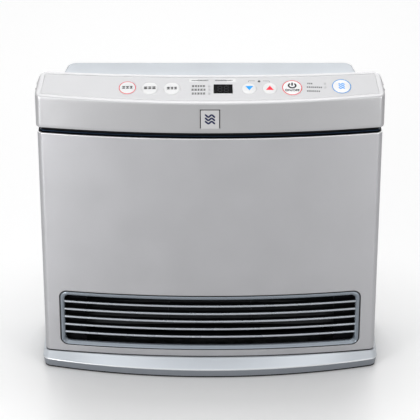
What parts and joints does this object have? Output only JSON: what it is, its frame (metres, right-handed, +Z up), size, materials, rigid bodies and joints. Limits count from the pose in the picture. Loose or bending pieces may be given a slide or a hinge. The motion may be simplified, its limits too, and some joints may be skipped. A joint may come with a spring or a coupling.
{
  "type": "gas heater",
  "caption": "Gas fan heater with a bowed painted front, a warm-air louvre along its foot, a sloping control panel with push buttons and display, and a removable rear air filter.",
  "frame": {"origin": "on the floor under the middle of the whole heater", "axes": "+Z up, +X to the heater's right as seen from the front, +Y towards its back, so the front faces -Y"},
  "size_m": [0.475, 0.165, 0.439],
  "materials": {
    "silver_paint": "fine metallic silver paint, satin",
    "silver_white_plastic": "pearl white painted plastic, satin",
    "silver_blue_plastic": "pale blue-silver moulded plastic, satin",
    "blue_grey_plastic": "blue-grey metallic plastic, satin",
    "navy_gloss_plastic": "near-black navy, polished",
    "black_plastic": "moulded, fine grain",
    "smoked_window": "smoked acrylic, polished",
    "clear_plastic": "clear acrylic",
    "black_rubber": "matt",
    "dark_grey_plastic": "moulded, fine grain",
    "zinc_plated_steel": "zinc plated sheet",
    "black_painted_steel": "heat-proof black paint, matt",
    "stainless_steel": "rolled sheet",
    "brass": "machined",
    "cast_aluminium": "die cast",
    "white_ceramic": "glazed ceramic",
    "green_circuit_board": "solder-masked laminate"
  },
  "bodies": {
    "cabinet": {"base_plinth": "silver_blue_plastic", "rear_case": "silver_blue_plastic", "intake_grille": "silver_blue_plastic", "grip_left": "silver_blue_plastic", "grip_right": "silver_blue_plastic", "rear_deck": "silver_blue_plastic", "front_panel": "silver_paint", "badge_plate": "silver_paint", "top_cover": "silver_white_plastic", "control_panel": "silver_white_plastic", "louvre_grille": "blue_grey_plastic", "recess_trim": "navy_gloss_plastic", "display_window": "smoked_window", "display_module": "black_plastic", "igniter_module": "black_plastic", "room_thermistor": "black_plastic", "ion_unit": "black_plastic", "tip_over_switch": "black_plastic", "lamp_guide_mode": "clear_plastic", "lamp_guide_air": "clear_plastic", "foot_front_left": "black_rubber", "foot_front_right": "black_rubber", "foot_rear_left": "black_rubber", "foot_rear_right": "black_rubber", "cord_gland": "black_rubber", "solenoid_main": "dark_grey_plastic", "solenoid_safety": "dark_grey_plastic", "transformer": "dark_grey_plastic", "base_plate": "zinc_plated_steel", "top_tray": "zinc_plated_steel", "left_bulkhead": "zinc_plated_steel", "right_bulkhead": "zinc_plated_steel", "fan_scroll": "black_painted_steel", "duct_roof": "black_painted_steel", "fan_motor": "zinc_plated_steel", "burner_tray": "zinc_plated_steel", "heat_shield": "zinc_plated_steel", "burner_box": "stainless_steel", "burner_head": "stainless_steel", "overheat_thermostat": "stainless_steel", "fan_bearing": "brass", "gas_manifold": "brass", "gas_pipe": "brass", "gas_inlet_plug": "brass", "gas_valve": "cast_aluminium", "ignition_electrode": "white_ceramic", "flame_sensor": "white_ceramic", "control_board": "green_circuit_board", "power_board": "green_circuit_board"},
    "save_button": {"button_save": "silver_white_plastic"},
    "night_button": {"button_night": "silver_white_plastic"},
    "morning_button": {"button_morning": "silver_white_plastic"},
    "down_button": {"button_down": "silver_white_plastic"},
    "up_button": {"button_up": "silver_white_plastic"},
    "power_button": {"button_power": "silver_white_plastic"},
    "air_button": {"button_air": "silver_white_plastic"},
    "fan": {"fan_rotor": "dark_grey_plastic", "fan_shaft": "stainless_steel"},
    "filter": {"air_filter": "dark_grey_plastic"}
  },
  "joints": [
    {"name": "save_press", "type": "slide", "parent": "cabinet", "child": "save_button", "axis": [0.0199, 0.3737, -0.9273], "range_m": [0, 0.001], "stiffness_N_per_m": 2000},
    {"name": "night_press", "type": "slide", "parent": "cabinet", "child": "night_button", "axis": [0.0145, 0.3738, -0.9274], "range_m": [0, 0.001], "stiffness_N_per_m": 2000},
    {"name": "morning_press", "type": "slide", "parent": "cabinet", "child": "morning_button", "axis": [0.0092, 0.3738, -0.9275], "range_m": [0, 0.001], "stiffness_N_per_m": 2000},
    {"name": "down_press", "type": "slide", "parent": "cabinet", "child": "down_button", "axis": [-0.0095, 0.3738, -0.9275], "range_m": [0, 0.001], "stiffness_N_per_m": 2000},
    {"name": "up_press", "type": "slide", "parent": "cabinet", "child": "up_button", "axis": [-0.0144, 0.3738, -0.9274], "range_m": [0, 0.001], "stiffness_N_per_m": 2000},
    {"name": "power_press", "type": "slide", "parent": "cabinet", "child": "power_button", "axis": [-0.0198, 0.3737, -0.9273], "range_m": [0, 0.001], "stiffness_N_per_m": 2000},
    {"name": "air_press", "type": "slide", "parent": "cabinet", "child": "air_button", "axis": [-0.0317, 0.3736, -0.927], "range_m": [0, 0.001], "stiffness_N_per_m": 2000},
    {"name": "fan_spin", "type": "hinge", "parent": "cabinet", "child": "fan", "pos_m": [0, 0.004, 0.0819], "axis": [1, 0, 0], "continuous": true},
    {"name": "filter_slide", "type": "slide", "parent": "cabinet", "child": "filter", "axis": [0, 1, 0], "range_m": [0, 0.06]}
  ]
}
